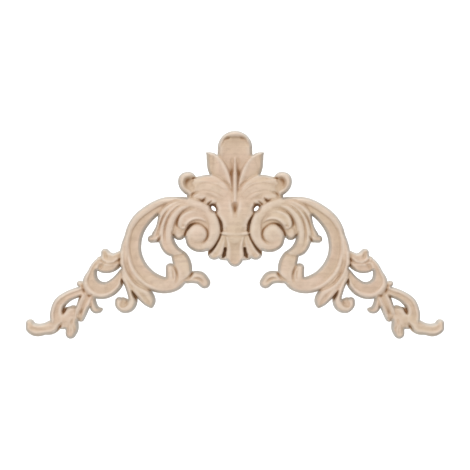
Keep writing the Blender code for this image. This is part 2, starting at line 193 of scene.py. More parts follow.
class Carving:
    """The right half of the relief: a height and a distance in from the outline at each place of a grid."""

    def __init__(self):
        columns = int(WIDEST / STEP) + 3
        first_row = int(LOWEST / STEP) - 3
        rows = int(HIGHEST / STEP) + 3 - first_row
        self.x = np.arange(columns)[None, :] * STEP + np.zeros((rows, 1))
        self.z = (np.arange(rows) + first_row)[:, None] * STEP + np.zeros((1, columns))
        self.height = np.full(self.x.shape, NOTHING)
        self.edge = np.full(self.x.shape, NOTHING)

    def window(self, a, b, reach):
        """The part of the grid round a short stretch of a line."""
        parts = []
        for axis, grid in ((1, self.z), (0, self.x)):
            low = (min(a[axis], b[axis]) - reach - grid[0, 0]) / STEP
            high = (max(a[axis], b[axis]) + reach - grid[0, 0]) / STEP
            parts.append(slice(max(0, int(low)), max(0, int(high) + 2)))
        return tuple(parts)

    def across(self, points):
        """At each place, half widths left of the line, and the line's half width and last number."""
        place = np.full(self.x.shape, FAR)
        side = np.ones(self.x.shape)
        half = np.ones(self.x.shape)
        high = np.zeros(self.x.shape)
        line = smooth_curve(points)
        for a, b in zip(line, line[1:]):
            part = self.window(a, b, REACH_WIDTHS * max(a[2], b[2]) + REACH_MORE)
            x, z = self.x[part] - a[0], self.z[part] - a[1]
            run_x, run_z = b[0] - a[0], b[1] - a[1]
            along = np.clip((x * run_x + z * run_z) / max(run_x**2 + run_z**2, TINY), 0, 1)
            wide = a[2] + along * (b[2] - a[2])
            far = np.hypot(x - along * run_x, z - along * run_z) / wide
            near = far < place[part]
            turn = np.where(run_x * z - run_z * x >= 0, 1.0, -1.0)
            place[part] = np.where(near, far, place[part])
            side[part] = np.where(near, turn, side[part])
            half[part] = np.where(near, wide, half[part])
            high[part] = np.where(near, a[3] + along * (b[3] - a[3]), high[part])
        return place * side, half, high

    def form(self, section, valley, points, blend=0.25):
        """Raises a form: its edges lie the valley's depth below its crest. It blends into what it meets."""
        place, half, high = self.across(points)
        inside = np.abs(place) < 1
        new = high - valley * (1 - section(np.clip(place, -1, 1)))
        apart = np.abs(self.height - new)
        joined = np.maximum(self.height, new) + np.clip(blend - apart, 0, None) ** 2 / (4 * blend)
        new = np.where(self.height > NOTHING, joined, new)
        self.height = np.where(inside, new, self.height)
        self.edge = np.maximum(self.edge, (1 - np.abs(place)) * half)

    def groove(self, points, sharp=1.5):
        """Cuts into what is there: the points' last number is the depth."""
        place, half, depth = self.across(points)
        cut = np.clip(1 - np.abs(place) ** sharp, 0, 1)
        self.height = np.where(self.height > NOTHING, self.height - cut * depth, NOTHING)

    def pocket(self, points, wall=3.0):
        """Cuts down to a level: the points' last number is its height above the back."""
        place, half, level = self.across(points)
        cut = np.clip(1 - np.abs(place) ** wall, 0, 1) ** 0.7
        lowered = np.minimum(self.height, self.height + (level - self.height) * cut)
        self.height = np.where(self.height > NOTHING, lowered, NOTHING)

    def pierce(self, centre, long, wide, tilt):
        """Cuts an oval hole right through, its length turned up by the tilt."""
        x, z = self.x - centre[0], self.z - centre[1]
        along = (x * math.cos(tilt) + z * math.sin(tilt)) / (long / 2)
        over = (z * math.cos(tilt) - x * math.sin(tilt)) / (wide / 2)
        self.edge = np.minimum(self.edge, (np.hypot(along, over) - 1) * wide / 2)


def carve_palmette(c):
    # top lobe, and the roll that its end turns over in
    c.form(dish, 1.5, [(0, 14, 5, 5.4), (0, 24, 5, 5.6), (0, 30, 6.2, 6.0), (0, 35, 7.9, 6.6),
                       (0, 38.5, 8.35, 7.0), (0, 41.6, 8.35, 7.3)])
    c.form(roll, 2.0, [(-7.1, 42.6, 0.9, 7.4), (-6.2, 44.8, 1.3, 8.2), (-4.6, 46.7, 1.5, 8.9),
                       (-2.4, 47.9, 1.6, 9.4), (0, 48.25, 1.6, 9.6), (2.4, 47.9, 1.6, 9.4),
                       (4.6, 46.7, 1.5, 8.9), (6.2, 44.8, 1.3, 8.2), (7.1, 42.6, 0.9, 7.4)], 0.8)
    c.pocket([(1.6, 46.4, 0.3, 7.6), (2.9, 46.3, 0.6, 6.3), (4.2, 45.8, 0.6, 6.3),
              (5.3, 45.0, 0.35, 7.0)], 2)
    c.groove([(5.0, 44.9, 0.45, 0.8), (6.0, 43.5, 0.45, 0.6), (6.5, 42.0, 0.4, 0.2)])
    # upper side lobe
    c.form(fold, 2.9, [(2.2, 20, 1.0, 6.6), (4.7, 25.8, 3.0, 7.8), (8.1, 31.2, 4.6, 8.2),
                       (10.4, 35.9, 3.2, 7.6), (12.2, 38.3, 1.5, 6.9), (13.5, 39.3, 0.4, 6.3)])
    # wide side lobe, and the shallow hollow along its top
    c.form(flat, 1.4, [(3.4, 15, 2.6, 7.4), (7.2, 21.2, 4.4, 8.3), (12, 23.9, 5.0, 8.2),
                       (17, 23.3, 4.9, 7.7), (20.5, 23.2, 4.6, 6.6)])
    c.groove([(5.5, 25.6, 0.7, 0.1), (9, 26.4, 1.6, 0.4), (14, 26.9, 1.6, 0.45), (19, 27.0, 1.0, 0.25)])
    # its curled ear
    c.form(flat, 1.6, [(20.1, 27.4, 1.5, 8.2), (21.2, 28.2, 1.9, 9.0), (22.9, 28.3, 2.1, 9.2),
                       (24.7, 27.3, 2.2, 9.2), (25.2, 25.2, 2.05, 9.0), (24.6, 23.2, 1.95, 8.6),
                       (23.1, 21.4, 1.8, 8.0), (21.4, 20.0, 1.3, 7.2)])
    c.pocket([(20.4, 26.6, 1.1, 5.9), (22.2, 25.8, 1.9, 5.5), (22.4, 24.0, 2.0, 5.7),
              (20.8, 22.6, 1.7, 6.4)], 2)
    c.pocket([(17.4, 27.8, 0.35, 6.2), (18.8, 27.4, 0.65, 5.0), (20.0, 27.1, 0.6, 4.9)], 2)
    # low lobes at its root, and the cuts between them
    c.form(flat, 1.5, [(9.5, 17.4, 2.4, 7.0), (14.6, 18.6, 2.0, 7.6), (18.4, 18.6, 1.8, 7.4),
                       (20.6, 18.4, 1.5, 6.8), (22.2, 18.6, 0.9, 6.0)])
    c.groove([(17.4, 20.7, 0.5, 0.2), (18.8, 20.2, 0.7, 1.0), (20.2, 19.4, 0.8, 1.4),
              (20.5, 18.2, 0.6, 0.8), (20.3, 17.0, 0.4, 0.2)])
    c.form(flat, 1.2, [(9.2, 17.0, 1.8, 7.6), (12.0, 16.2, 1.6, 7.4), (14.2, 15.2, 1.4, 6.8)])
    c.form(flat, 0.8, [(7.5, 14.4, 3.8, 5.8), (17, 16, 2.6, 5.6)])
    c.pocket([(13.9, 17.7, 0.3, 6.6), (14.8, 16.9, 0.5, 5.2), (15.6, 16.0, 0.5, 4.8),
              (16.2, 15.2, 0.35, 5.4)], 2)
    c.pocket([(11.0, 16.2, 0.3, 6.8), (12.0, 15.5, 0.45, 5.2), (12.9, 14.7, 0.4, 4.8)], 2)
    # throat, and the low wood between it and the volute
    c.form(roll, 1.4, [(0, 29, 1.2, 6.2), (0, 25, 4.0, 6.9), (0, 20.5, 8.0, 7.6), (0, 16, 8.9, 8.2),
                       (0, 12, 8.9, 8.6), (0, 8, 7.4, 8.9), (0, 4.5, 5.7, 8.7), (0, 1.6, 6.0, 8.3)])
    c.groove([(0, 20, 2.6, 0.1), (0, 15.5, 2.2, 1.0), (0, 11, 1.6, 0.9), (0, 8.0, 1.4, 0.1)])
    c.form(flat, 0.8, [(9.2, 12.4, 2.4, 5.6), (6.8, 5, 1.8, 3.8), (7.6, -2, 1.8, 4.2)])
    # crease beside the rib, and the veins of the wide lobe
    c.groove([(1.5, 20.8, 0.35, 0.4), (2.1, 22.4, 0.45, 1.0), (3.2, 24.2, 0.45, 1.1), (4.7, 25.6, 0.4, 0.8),
              (6.4, 26.5, 0.4, 0.2)])
    c.groove([(2.6, 18.6, 0.35, 0.1), (5.4, 21.6, 0.4, 0.3), (8.8, 23.8, 0.45, 0.3), (14, 24.9, 0.45, 0.25),
              (18.4, 23.9, 0.4, 0.1)])
    c.groove([(4.6, 17.2, 0.35, 0.1), (7.4, 19.2, 0.4, 0.3), (10.4, 20.5, 0.45, 0.3),
              (14.8, 21.1, 0.45, 0.3), (17.6, 20.6, 0.4, 0.1)])
    c.groove([(3.4, 20.4, 0.35, 0.1), (5.6, 23.4, 0.4, 0.25), (8.8, 25.2, 0.4, 0.25), (13, 26.0, 0.4, 0.1)])
    # rib, the groove beside it and the fork at its foot
    c.form(roll, 1.6, [(0, 15.4, 1.1, 8.3), (0, 19, 1.1, 8.5), (0, 22, 1.0, 9.0), (0, 28, 0.95, 9.1),
                       (0, 33.5, 0.65, 8.0), (0, 37, 0.4, 6.6)])
    c.groove([(1.2, 19.2, 0.3, 0.1), (1.3, 21.2, 0.4, 1.0), (1.3, 24, 0.45, 1.3), (1.4, 28, 0.5, 0.8),
              (1.65, 31.3, 0.6, 0.25), (1.6, 34.2, 0.8, 0.6), (1.4, 37.0, 0.6, 0.1)])
    c.pocket([(0, 14.3, 1.6, 6.2), (0, 12.6, 1.15, 5.9), (0, 11.2, 0.75, 6.6), (0, 10.1, 0.35, 7.8)], 1.6)
    # collar, and the tongue and lobes below it
    c.form(roll, 0.7, [(0, 0.7, 0.9, 8.35), (3, 0.75, 0.9, 8.4), (5.6, 0.9, 1.0, 8.5)], 0.5)
    c.form(dish, 1.2, [(0, 0.2, 5.2, 8.1), (0, -5, 4.0, 7.6), (0, -9.5, 4.4, 7.3), (0, -11.6, 3.5, 7.0)])
    c.form(dish, 1.2, [(5.2, -0.2, 1.3, 7.8), (6.9, -3.6, 2.0, 7.4), (8.5, -7, 3.2, 7.1),
                       (9.9, -8.6, 3.2, 6.7)])
    c.form(roll, 1.4, [(4.0, -11.0, 1.1, 6.8), (5.2, -11.0, 1.1, 6.6), (6.6, -10.6, 1.2, 6.6)])
    c.form(flat, 0.3, [(0, -5.8, 4.2, 1.9), (7, -6.0, 3.8, 1.9)])
    c.form(flat, 0.6, [(4.7, 0.2, 1.3, 7.6), (4.5, -3.0, 1.2, 7.2), (4.4, -5.0, 0.9, 6.8)])
    c.groove([(0, -0.5, 0.45, 0.15), (2.6, -0.45, 0.45, 0.15), (4.4, -0.3, 0.5, 0.4), (6.2, 0.0, 0.6, 0.9)])
    c.groove([(2.4, 1.8, 0.35, 0.1), (4.0, 1.9, 0.4, 0.3), (5.8, 2.1, 0.45, 0.5)])
    c.groove([(4.9, -0.8, 0.35, 0.4), (4.4, -3.0, 0.45, 0.7), (4.3, -5.0, 0.55, 1.2)])
    c.pocket([(4.4, -6.0, 0.35, 4.0), (4.7, -7.3, 0.6, 1.7), (5.1, -9.0, 0.6, 1.7), (5.5, -10.3, 0.5, 2.2)])
    c.groove([(5.8, -10.4, 0.5, 2.4), (6.8, -11.2, 0.45, 1.8), (7.6, -11.8, 0.4, 1.2)])


def carve_scroll(c):
    # arm, with its rim outside
    c.form(rim_right, 2.3, [(24.5, -21.3, 1.8, 5.6), (29, -23.4, 3.4, 6.2), (35, -23.7, 4.1, 6.6),
                            (41.5, -20.9, 4.5, 6.8), (46.3, -15.8, 4.6, 6.9), (48.6, -9.5, 4.2, 6.9),
                            (48.9, -3.5, 4.2, 6.9), (47.7, 2.2, 4.3, 7.0), (44.7, 7.2, 4.2, 7.2),
                            (40, 11.5, 3.7, 7.4), (34.5, 14.6, 3.3, 7.6), (29, 15.9, 2.6, 7.8),
                            (24, 15.8, 2.5, 7.8)])
    c.form(roll, 1.6, [(24.5, -21.3, 1.8, 5.8), (29, -23.2, 3.3, 6.5), (35, -23.6, 3.9, 6.8),
                       (40, -21.6, 3.6, 6.3), (43.5, -19, 2.6, 5.4)])
    c.form(roll, 1.2, [(30, 16.6, 1.2, 7.8), (35, 16.0, 1.7, 7.7), (41, 12.9, 1.9, 7.5),
                       (46.4, 8.6, 1.8, 7.3), (50.1, 3.1, 1.5, 7.0)])
    # volute, its eye and the hook inside it
    c.form(roll, 1.8, [(28.5, 15.9, 2.0, 7.2), (22, 15.3, 2.7, 8.2), (17.5, 13.8, 2.7, 8.5),
                       (13.3, 11.2, 2.8, 8.7), (10.6, 7.6, 2.9, 8.8), (9.8, 3.5, 2.9, 8.8),
                       (10.4, -0.6, 2.9, 8.8), (12.6, -4, 2.9, 8.8), (16.6, -5.3, 2.9, 8.8),
                       (20, -3.9, 2.9, 9.0), (21.1, -1.2, 2.8, 9.2)])
    c.form(flat, 0.8, [(10.5, 2.5, 4.4, 7.2), (20, 4, 5.8, 7.0), (30, 5.5, 4.2, 5.8)])
    c.form(flat, 0.8, [(15, 12, 2.4, 7.4), (21, 12, 3.0, 7.2), (28, 8.6, 3.0, 6.4)])
    c.form(roll, 2.6, [(18.0, 0.5, 5.0, 9.8), (18.5, 0.1, 4.9, 9.8)], 0.5)
    c.form(dish, 0.75, [(12.6, 6.6, 1.2, 7.6), (14.3, 8.6, 2.0, 8.3), (17.5, 9.9, 2.5, 8.7),
                        (20.8, 9.5, 2.7, 8.8), (23.6, 7.9, 2.8, 8.8), (24.9, 5.6, 2.3, 8.5),
                        (24.8, 4.4, 1.6, 7.8)])
    c.form(roll, 1.6, [(27.7, 5.6, 1.6, 6.2), (27, 2.8, 2.4, 6.8), (26.6, 0.4, 2.8, 6.8)])


def carve_acanthus(c):
    # the three lobes, outermost first, and the bed that they lie on
    c.form(roll, 1.7, [(24.5, 16.3, 0.8, 7.8), (28.5, 15.1, 1.4, 8.3), (32.2, 12.8, 1.8, 8.3),
                       (34.9, 9.6, 1.6, 8.0), (36.2, 6.2, 1.05, 7.6), (37, 3.2, 1.2, 7.2),
                       (38.2, 0.2, 1.7, 6.8)])
    c.form(roll, 1.5, [(36.8, -1.6, 1.9, 6.8), (39.9, -1.8, 1.9, 6.2)])
    c.form(roll, 1.3, [(23.5, 15.4, 0.8, 8.0), (27.5, 13.9, 1.1, 8.5), (31, 11.1, 1.2, 8.4),
                       (33.3, 7.6, 1.2, 8.2), (34.5, 3.8, 1.3, 7.9), (34.9, 0, 1.5, 7.6),
                       (34.2, -4, 1.9, 7.3), (32, -7.3, 2.0, 7.1), (29, -9, 1.6, 6.8)])
    c.form(flat, 0.8, [(29, 13, 2.0, 7.0), (33.3, 8.5, 2.4, 6.6), (34.9, 2, 2.2, 6.0),
                       (35.6, -1.3, 2.0, 5.0)])
    c.form(roll, 1.4, [(21, 14.2, 1.0, 8.0), (25.5, 12.8, 1.5, 8.6), (29, 9.3, 1.8, 8.5),
                       (30.9, 5, 2.0, 8.2), (31.5, 0.5, 2.2, 7.9), (31.2, -3.5, 2.6, 7.6),
                       (29.2, -6.9, 2.6, 7.3), (26.7, -8.4, 2.0, 7.0)])
    # the stem's bend, and the leaves at its foot
    c.form(roll, 1.6, [(28.0, -8.8, 2.6, 6.2), (26.2, -11.2, 4.0, 6.6), (24.9, -14.5, 4.3, 6.9),
                       (24.6, -17.8, 3.9, 6.9), (25.9, -20.8, 3.2, 6.8), (28.8, -23.2, 2.9, 6.6)], 0.6)
    c.form(roll, 1.6, [(31, -15.5, 2.2, 6.6), (30.3, -18.8, 2.8, 7.0), (30.5, -21.6, 2.8, 6.9),
                       (33, -23.5, 2.4, 6.6)], 0.6)
    c.form(roll, 1.6, [(23, -21.1, 2.0, 5.6), (20, -20.1, 2.9, 6.2), (16.8, -20.4, 3.2, 6.2),
                       (14.5, -22.7, 2.8, 5.8)], 0.4)


def carve_tail(c):
    # side leaf and small curl, the wood inside the curl, and the wood between leaf and arm
    c.form(roll, 1.8, [(51.0, 3, 0.5, 5.6), (52.9, -3, 1.0, 7.1), (53.6, -8, 1.4, 7.6),
                       (53.2, -13.5, 1.6, 7.6), (51.3, -18.8, 2.1, 7.2), (48.2, -23.3, 2.8, 7.0),
                       (44.4, -27.2, 3.6, 6.7), (41.5, -30.4, 3.4, 6.2), (40.3, -32.8, 1.9, 5.6),
                       (40.1, -34.4, 0.6, 4.8)])
    c.form(roll, 1.6, [(53.3, -17, 1.0, 6.8), (52, -22, 1.5, 7.0), (50.1, -26.5, 1.8, 7.2),
                       (48.8, -30.6, 2.2, 7.1), (49.9, -34, 2.3, 7.0), (52.8, -35.0, 2.3, 6.8),
                       (55.0, -33.4, 2.2, 6.3), (55.4, -31.4, 1.9, 6.0)])
    c.form(flat, 0.8, [(51, -33, 2.2, 4.6), (53.6, -31.6, 2.0, 4.6)])
    c.form(flat, 0.5, [(51.3, -0.5, 0.7, 7.0), (52.0, -4, 1.1, 7.2), (52.3, -8, 1.2, 7.3),
                       (52.2, -11, 0.9, 7.1), (52.0, -13, 0.5, 6.7), (51.7, -14.6, 0.2, 6.2)], 0.6)
    # wings
    c.form(dish, 0.9, [(53.6, -8.4, 1.6, 6.0), (55.6, -9.9, 2.2, 6.4), (58.2, -11.1, 2.5, 6.6),
                       (61, -10.4, 2.8, 6.6), (62.1, -8.2, 1.9, 6.0)])
    c.form(dish, 1.2, [(53.8, -12.6, 1.0, 5.8), (57.3, -14.9, 1.9, 6.4), (60.9, -15.8, 2.4, 6.6),
                       (64.2, -14.9, 2.5, 6.4), (66.0, -12.9, 1.5, 5.6)])
    c.form(flat, 0.8, [(55, -12, 1.4, 4.4), (60, -13.4, 2.0, 5.0), (64.4, -11.8, 1.8, 5.0)])
    # cup and its spur
    c.form(rim_right, 1.5, [(53.8, -17.5, 1.6, 6.0), (56.6, -22.8, 3.2, 6.4), (60.8, -26, 3.9, 6.8),
                            (65.6, -26, 4.3, 6.9), (68.9, -22.6, 3.9, 6.9), (68.3, -18, 2.3, 6.8),
                            (66.9, -14.6, 1.9, 7.1), (65.1, -12.1, 1.4, 6.8)])
    c.form(roll, 1.4, [(72, -24.4, 2.0, 5.6), (74.3, -23.1, 1.4, 5.4)])
    # ring, what closes it below, and the low wood inside and beside it
    c.form(rim_left, 1.5, [(71, -25.6, 2.0, 5.8), (75.6, -27.4, 2.5, 6.0), (79.8, -29.2, 2.6, 6.2),
                           (83.6, -32.4, 3.0, 6.3), (85.3, -37, 3.1, 6.2), (85.1, -40.5, 3.2, 6.0),
                           (85.6, -43, 2.4, 5.2)])
    c.form(flat, 0.8, [(77.4, -36.1, 2.7, 5.0), (79.4, -39.6, 3.9, 5.4), (82, -42.2, 2.8, 5.0)], 0.5)
    c.form(flat, 0.4, [(79, -36.4, 2.4, 1.8), (83.5, -37.6, 2.4, 1.8)])
    c.form(roll, 0.8, [(72, -28, 2.0, 3.8), (75, -34.4, 1.1, 3.8)])
    # feather and its spur
    c.form(dish, 1.6, [(69.6, -27.5, 2.0, 5.6), (71.2, -31.2, 2.8, 6.2), (72.9, -35, 3.0, 6.2),
                       (73.8, -38.2, 2.5, 5.6), (73.6, -39.8, 1.6, 5.0)])
    c.form(roll, 1.2, [(68.2, -29.6, 1.4, 5.4), (67.8, -33, 1.8, 5.4), (66.9, -35.2, 2.0, 5.2),
                       (65.2, -35.8, 1.5, 4.8), (64.2, -35.5, 1.0, 4.4)])
    # fan and the curled end
    c.form(roll, 1.3, [(78.3, -41, 3.3, 5.4), (77.9, -44.4, 3.1, 5.4), (78.5, -47.0, 2.5, 5.0)], 0.5)
    c.form(roll, 1.3, [(84, -41.2, 2.6, 5.2), (87.6, -43.9, 3.4, 5.6), (91, -44.8, 2.9, 5.6),
                       (94.5, -45.3, 3.1, 5.4), (97.2, -44.2, 2.8, 5.4), (98, -42.1, 2.0, 5.0)])


def cut_scroll(c):
    # eyelet, and the gap between the palmette and the volute
    c.pocket([(8.8, 11.6, 0.5, 5.8), (9.5, 13.2, 0.9, 4.2), (10.6, 14.1, 0.9, 4.0),
              (11.6, 14.2, 0.5, 4.8)], 2)
    c.pocket([(9.3, 10.9, 0.3, 6.0), (8.5, 9.3, 0.35, 5.6), (7.5, 7.6, 0.5, 4.6), (6.7, 5.6, 0.7, 3.6),
              (6.4, 3.6, 0.55, 3.6), (6.5, 1.6, 0.35, 4.6)])
    c.pocket([(6.7, 0.6, 0.35, 5.0), (7.3, -1.2, 0.4, 4.6), (8.6, -3.6, 0.45, 4.0), (10.0, -5.8, 0.55, 3.2),
              (11.4, -7.4, 0.65, 2.4), (12.9, -8.7, 0.8, 1.6)])
    # spiral round the eye
    c.pocket([(15.8, -3.9, 0.3, 8.0), (14.6, -3.0, 0.4, 7.2), (13.3, -1.4, 0.5, 6.6), (12.9, 0.7, 0.5, 6.3),
              (13.6, 2.8, 0.5, 6.3), (15.3, 4.5, 0.5, 6.4), (17.2, 5.5, 0.5, 6.3), (19.3, 5.5, 0.55, 5.8),
              (21.2, 4.5, 0.65, 4.0), (22.4, 3.1, 0.6, 4.0), (23.4, 1.5, 0.55, 4.6),
              (24.0, 0.0, 0.5, 5.6)], 2)
    # hook and the drop under it
    c.groove([(14, 10.4, 0.5, 0.15), (17, 11.6, 0.6, 0.4), (20.5, 11.8, 0.6, 0.5), (23.6, 10.9, 0.6, 0.8),
              (25.8, 9.3, 0.6, 1.0), (27.1, 7.0, 0.6, 1.2), (27.5, 4.8, 0.6, 1.0), (27.3, 3.4, 0.5, 0.4)])
    c.groove([(29.9, 2.2, 0.4, 0.4), (29.7, 0.6, 0.6, 1.8), (28.9, -0.9, 0.6, 2.4), (28.2, -1.8, 0.6, 2.2)])
    c.groove([(23.4, 1.0, 0.5, 1.4), (23.8, -0.6, 0.5, 1.6), (24.1, -2.0, 0.6, 1.6)])
    # lines between the lobes of the acanthus
    c.groove([(23.6, 15.4, 0.4, 0.1), (27, 13.6, 0.4, 0.6), (30.2, 10.6, 0.4, 1.0), (32.1, 7.4, 0.4, 1.2),
              (33.2, 4, 0.4, 1.2), (33.5, 1, 0.4, 1.0), (33.3, -1.8, 0.4, 0.6), (33.1, -3.2, 0.35, 0.1)])
    c.groove([(31.6, 12.2, 0.4, 0.2), (33.0, 10.4, 0.45, 1.0), (34.4, 8.0, 0.5, 1.4),
              (35.4, 5.4, 0.45, 1.4), (36.2, 3.0, 0.45, 1.0), (36.8, 1.2, 0.4, 0.2)])
    c.groove([(26.6, 17.0, 0.4, 0.1), (30.5, 15.4, 0.6, 0.4), (34, 13.1, 0.7, 0.55),
              (36.2, 10.8, 0.7, 0.65), (37.6, 8.8, 0.7, 1.6), (38.6, 7.9, 0.6, 1.8)])
    c.groove([(35.4, -0.4, 0.5, 0.8), (36.1, -1.8, 0.8, 2.1), (36.9, -3.2, 0.8, 2.1)])
    # creases at the bend and the leaves at its foot
    c.groove([(24.0, -8.4, 0.5, 0.3), (25.6, -9.4, 0.6, 0.45), (27.8, -10.0, 0.6, 0.5),
              (30.2, -10.2, 0.5, 0.5)])
    c.groove([(29.8, -13.6, 0.5, 0.6), (28.7, -15.2, 0.6, 1.0), (27.9, -17.2, 0.65, 1.5),
              (27.5, -19.2, 0.6, 1.3), (27.7, -21.2, 0.6, 0.8), (28.4, -22.8, 0.4, 0.2)])
    c.groove([(29.9, -15.6, 0.4, 0.2), (29.4, -17.4, 0.45, 0.8), (29.2, -19.2, 0.45, 0.9),
              (29.3, -21.0, 0.4, 0.2)])
    c.groove([(30.2, -13.3, 0.7, 0.7), (31.0, -14.2, 0.6, 0.3)])
    c.groove([(20.0, -17.2, 0.7, 2.2), (20.8, -18.8, 0.8, 2.0), (22.2, -20.2, 0.8, 1.2),
              (24.0, -21.4, 0.7, 0.6), (25.8, -22.4, 0.5, 0.2)])
    c.groove([(20.0, -20.7, 0.4, 0.3), (18.2, -20.4, 0.6, 1.1), (16.6, -21.0, 0.7, 1.2),
              (15.2, -22.2, 0.6, 0.5)])


def cut_tail(c):
    # side leaf and curl
    c.groove([(52.5, -8.0, 0.4, 0.1), (52.5, -11.0, 0.5, 0.4), (52.1, -14.0, 0.65, 1.2),
              (51.2, -16.6, 0.75, 1.6), (49.7, -19.4, 0.8, 1.8), (47.5, -22.3, 0.8, 1.5),
              (45.0, -24.3, 0.8, 0.9), (42, -25.6, 0.8, 0.7), (39.8, -26.7, 0.7, 1.2),
              (38.4, -28.0, 0.6, 1.8)])
    c.groove([(46.5, -26.0, 0.5, 0.1), (43.6, -28.8, 1.3, 0.6), (41.4, -31.6, 1.2, 0.5),
              (40.4, -33.4, 0.4, 0.1)])
    c.pocket([(49.1, -26.4, 0.3, 4.6), (48.3, -28.0, 0.65, 2.8), (47.2, -29.7, 0.85, 1.8),
              (46.2, -31.2, 0.8, 1.4)])
    c.pocket([(52.0, -31.6, 1.6, 5.1), (52.8, -32.4, 1.9, 5.0), (53.6, -33.2, 1.3, 5.3)], 2)
    c.pocket([(54.0, -20.6, 0.35, 4.6), (53.8, -22.2, 0.7, 2.4), (53.1, -24.2, 1.0, 1.4)])
    # wings
    c.groove([(54.6, -11.2, 0.6, 1.2), (55.8, -12.2, 0.75, 1.9), (57.4, -13.2, 0.7, 1.1),
              (59.6, -13.6, 0.5, 0.3)])
    c.groove([(54.8, -14.4, 0.7, 1.8), (55.8, -15.4, 0.8, 2.0), (57.2, -16.6, 0.6, 0.8)])
    c.groove([(54.6, -8.0, 0.5, 0.6), (54.9, -10.4, 0.6, 1.2), (54.9, -13.4, 0.6, 1.2),
              (54.5, -16.4, 0.6, 1.0)])
    c.groove([(61.7, -9.0, 0.8, 0.3), (61.4, -10.2, 1.1, 0.9), (61.0, -11.4, 0.7, 0.2)])
    c.groove([(61.6, -12.6, 0.5, 0.4), (62.8, -13.6, 0.7, 0.8), (63.9, -15.0, 0.8, 0.9),
              (64.6, -16.4, 0.7, 0.5)])
    # where cup, feather and ring meet
    c.groove([(72.6, -22.2, 0.5, 0.6), (72.7, -24.2, 0.7, 1.3), (72.2, -26.0, 0.7, 1.4),
              (71.4, -27.8, 0.6, 0.8)])
    c.groove([(68.0, -28.4, 0.5, 0.6), (69.2, -28.9, 0.7, 1.3), (70.4, -28.6, 0.5, 0.4)])
    c.groove([(73.4, -28.6, 0.6, 0.8), (74.6, -29.6, 0.8, 2.0), (75.6, -30.6, 0.7, 1.6)])
    c.groove([(68.2, -29.8, 0.4, 0.3), (68.6, -32.4, 0.5, 0.5), (69.0, -34.6, 0.6, 1.4),
              (69.4, -35.9, 0.6, 2.0)])
    c.groove([(72.4, -34.4, 0.5, 0.2), (73.4, -36.6, 0.8, 1.0), (74.0, -38.2, 0.6, 0.4)])
    c.groove([(75.4, -36.6, 0.4, 0.3), (75.2, -38.6, 0.5, 0.8), (74.5, -40.2, 0.7, 1.4),
              (74.4, -41.6, 0.6, 1.2)])
    # ledge and slot inside the ring
    c.groove([(76.0, -34.4, 0.6, 1.2), (77.8, -34.2, 0.7, 1.2), (79.6, -34.0, 0.5, 0.6)])
    c.pocket([(80.8, -33.5, 0.5, 2.6), (81.1, -34.5, 0.95, 0.9), (81.6, -36.0, 0.9, 0.9),
              (82.0, -37.4, 0.4, 3.2)])
    # hollow along the feather
    c.groove([(69.8, -28.8, 0.5, 0.2), (71.4, -31.8, 0.6, 0.6), (72.6, -34.8, 0.6, 0.7),
              (73.6, -37.6, 0.5, 0.3)])
    # fan and end
    c.groove([(77.2, -39.8, 0.6, 0.2), (77.7, -41.2, 0.7, 0.8), (77.9, -42.6, 0.5, 0.1)])
    c.groove([(77.2, -42.8, 0.4, 0.1), (76.4, -44.6, 0.55, 0.7), (76.6, -46.6, 0.5, 0.3)])
    c.groove([(79.0, -42.6, 0.4, 0.1), (79.6, -44.6, 0.55, 0.7), (79.4, -46.8, 0.5, 0.3)])
    c.groove([(78.1, -43.4, 0.4, 0.1), (78.0, -45.4, 0.5, 0.5), (78.2, -47.2, 0.4, 0.2)])
    c.groove([(82.7, -42.0, 0.6, 0.6), (83.6, -43.8, 1.0, 2.6), (84.7, -45.7, 0.9, 2.4),
              (85.6, -47.2, 0.6, 1.6)])
    c.groove([(84.9, -45.6, 0.4, 0.6), (86.3, -46.5, 0.6, 1.1), (88.4, -46.8, 0.6, 1.2),
              (90.8, -46.9, 0.6, 1.2), (94.2, -47.5, 0.6, 1.3), (97.0, -46.8, 0.6, 1.1),
              (98.7, -45.2, 0.4, 0.4)])
    c.groove([(86, -43.9, 0.8, 0.1), (90, -44.6, 1.3, 0.5), (94, -45.0, 1.3, 0.5), (96.6, -44.2, 1.3, 0.8),
              (97.6, -42.8, 0.8, 0.2)])


def softened(values, inside, reach):
    """The values blurred over what is inside the outline, with weights out to three times the reach."""
    count = math.ceil(3 * reach / STEP)
    weights = np.exp(-0.5 * (np.arange(-count, count + 1) * STEP / reach) ** 2)
    sums = []
    for field in (np.where(inside, values, 0.0), inside.astype(float)):
        for axis in (0, 1):
            field = sum(w * np.roll(field, i - count, axis) for i, w in enumerate(weights))
        sums.append(field)
    return np.where(inside, sums[0] / np.maximum(sums[1], TINY), values)


def distance_inside(edge):
    """The distance in from the outline, true out to one and a half roundings and the same from there on."""
    crossings = []
    for axis in (0, 1):
        first = edge[:-1] if axis == 0 else edge[:, :-1]
        second = edge[1:] if axis == 0 else edge[:, 1:]
        row, column = np.nonzero((first > 0) != (second > 0))
        share = first[row, column] / (first[row, column] - second[row, column])
        crossings.append(np.stack([row + share * (axis == 0), column + share * (axis == 1)], 1))
    furthest = 1.5 * ROUNDING
    reach = math.ceil(furthest / STEP)
    distance = np.full(edge.shape, furthest)
    for row, column in np.vstack(crossings):
        rows = np.arange(max(0, int(row) - reach), min(edge.shape[0], int(row) + reach + 2))
        columns = np.arange(max(0, int(column) - reach), min(edge.shape[1], int(column) + reach + 2))
        part = np.ix_(rows, columns)
        far = np.hypot((rows - row)[:, None], (columns - column)[None, :]) * STEP
        distance[part] = np.minimum(distance[part], far)
    return np.where(edge > 0, distance, 0.0)


def mirrored(field, sign=1):
    """The whole onlay's field from its right half's."""
    return np.hstack([sign * field[:, :0:-1], field])


